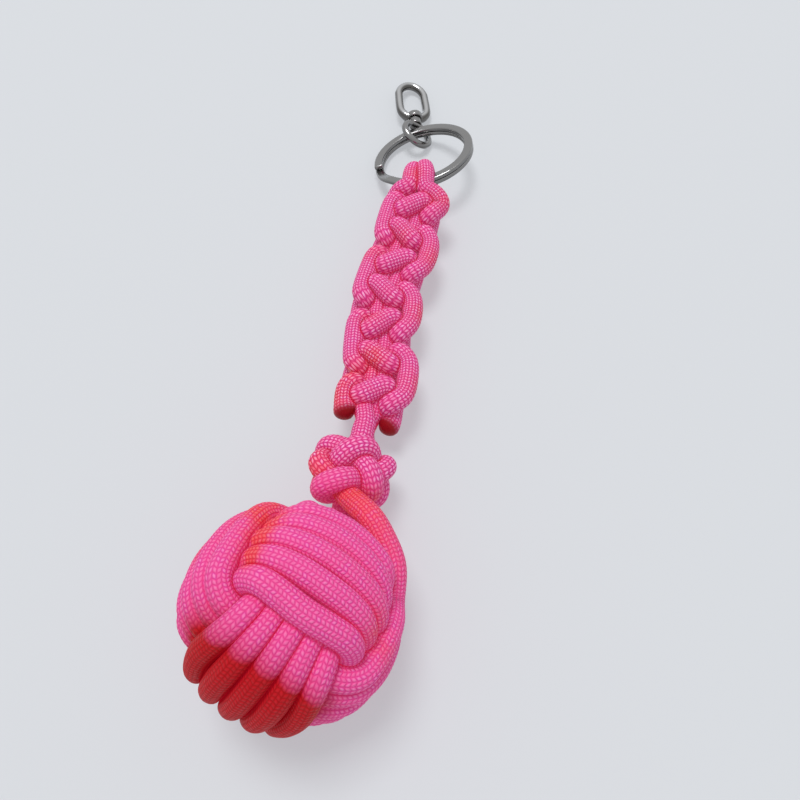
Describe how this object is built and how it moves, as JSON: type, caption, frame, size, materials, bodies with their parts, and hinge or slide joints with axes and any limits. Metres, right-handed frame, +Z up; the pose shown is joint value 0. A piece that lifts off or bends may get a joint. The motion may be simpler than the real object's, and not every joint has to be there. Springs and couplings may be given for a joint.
{
  "type": "monkey fist knot keyring",
  "caption": "Monkey fist knot of braided cord wound over a steel ball, with a button knot and a woven bar that ends in a split ring and a small swivel.",
  "frame": {"origin": "on the surface the keyring lies on, under the middle of the monkey fist", "axes": "+Y along the keyring from the fist to the swivel, +Z up from the surface it lies on"},
  "size_m": [0.0346, 0.1657, 0.0343],
  "materials": {
    "cord": "braided nylon cord, matt",
    "ball_steel": "plain ball steel",
    "chrome": "bright plating"
  },
  "bodies": {
    "fist": {"core_ball": "ball_steel", "fist_winding": "cord", "lanyard_strand_upper": "cord", "lanyard_strand_lower": "cord"},
    "bar": {"bar_core_left": "cord", "bar_core_right": "cord", "bar_strand_front": "cord", "bar_strand_back": "cord", "ring_bight_left": "cord", "ring_bight_right": "cord"},
    "ring": {"split_ring": "chrome"},
    "swivel": {"swivel_eye": "chrome", "swivel_rivet": "chrome"},
    "bow": {"swivel_bow": "chrome"}
  },
  "joints": [
    {"name": "neck_bend", "type": "hinge", "parent": "fist", "child": "bar", "pos_m": [0.00305, 0.0356, 0.009], "axis": [0, 0, 1], "range_deg": [-35, 35]},
    {"name": "ring_swing", "type": "hinge", "parent": "bar", "child": "ring", "pos_m": [0.00188, 0.10632, 0.0078], "axis": [0.9457, 0.1838, 0.2681], "range_deg": [-60, 60]},
    {"name": "swivel_tilt", "type": "hinge", "parent": "ring", "child": "swivel", "pos_m": [-0.00352, 0.12884, 0.00283], "axis": [-0.9016, -0.368, -0.2275], "range_deg": [-55, 55]},
    {"name": "swivel_spin", "type": "hinge", "parent": "swivel", "child": "bow", "pos_m": [-0.00335, 0.12827, 0.00307], "axis": [-0.2751, 0.9595, -0.061], "continuous": true}
  ]
}
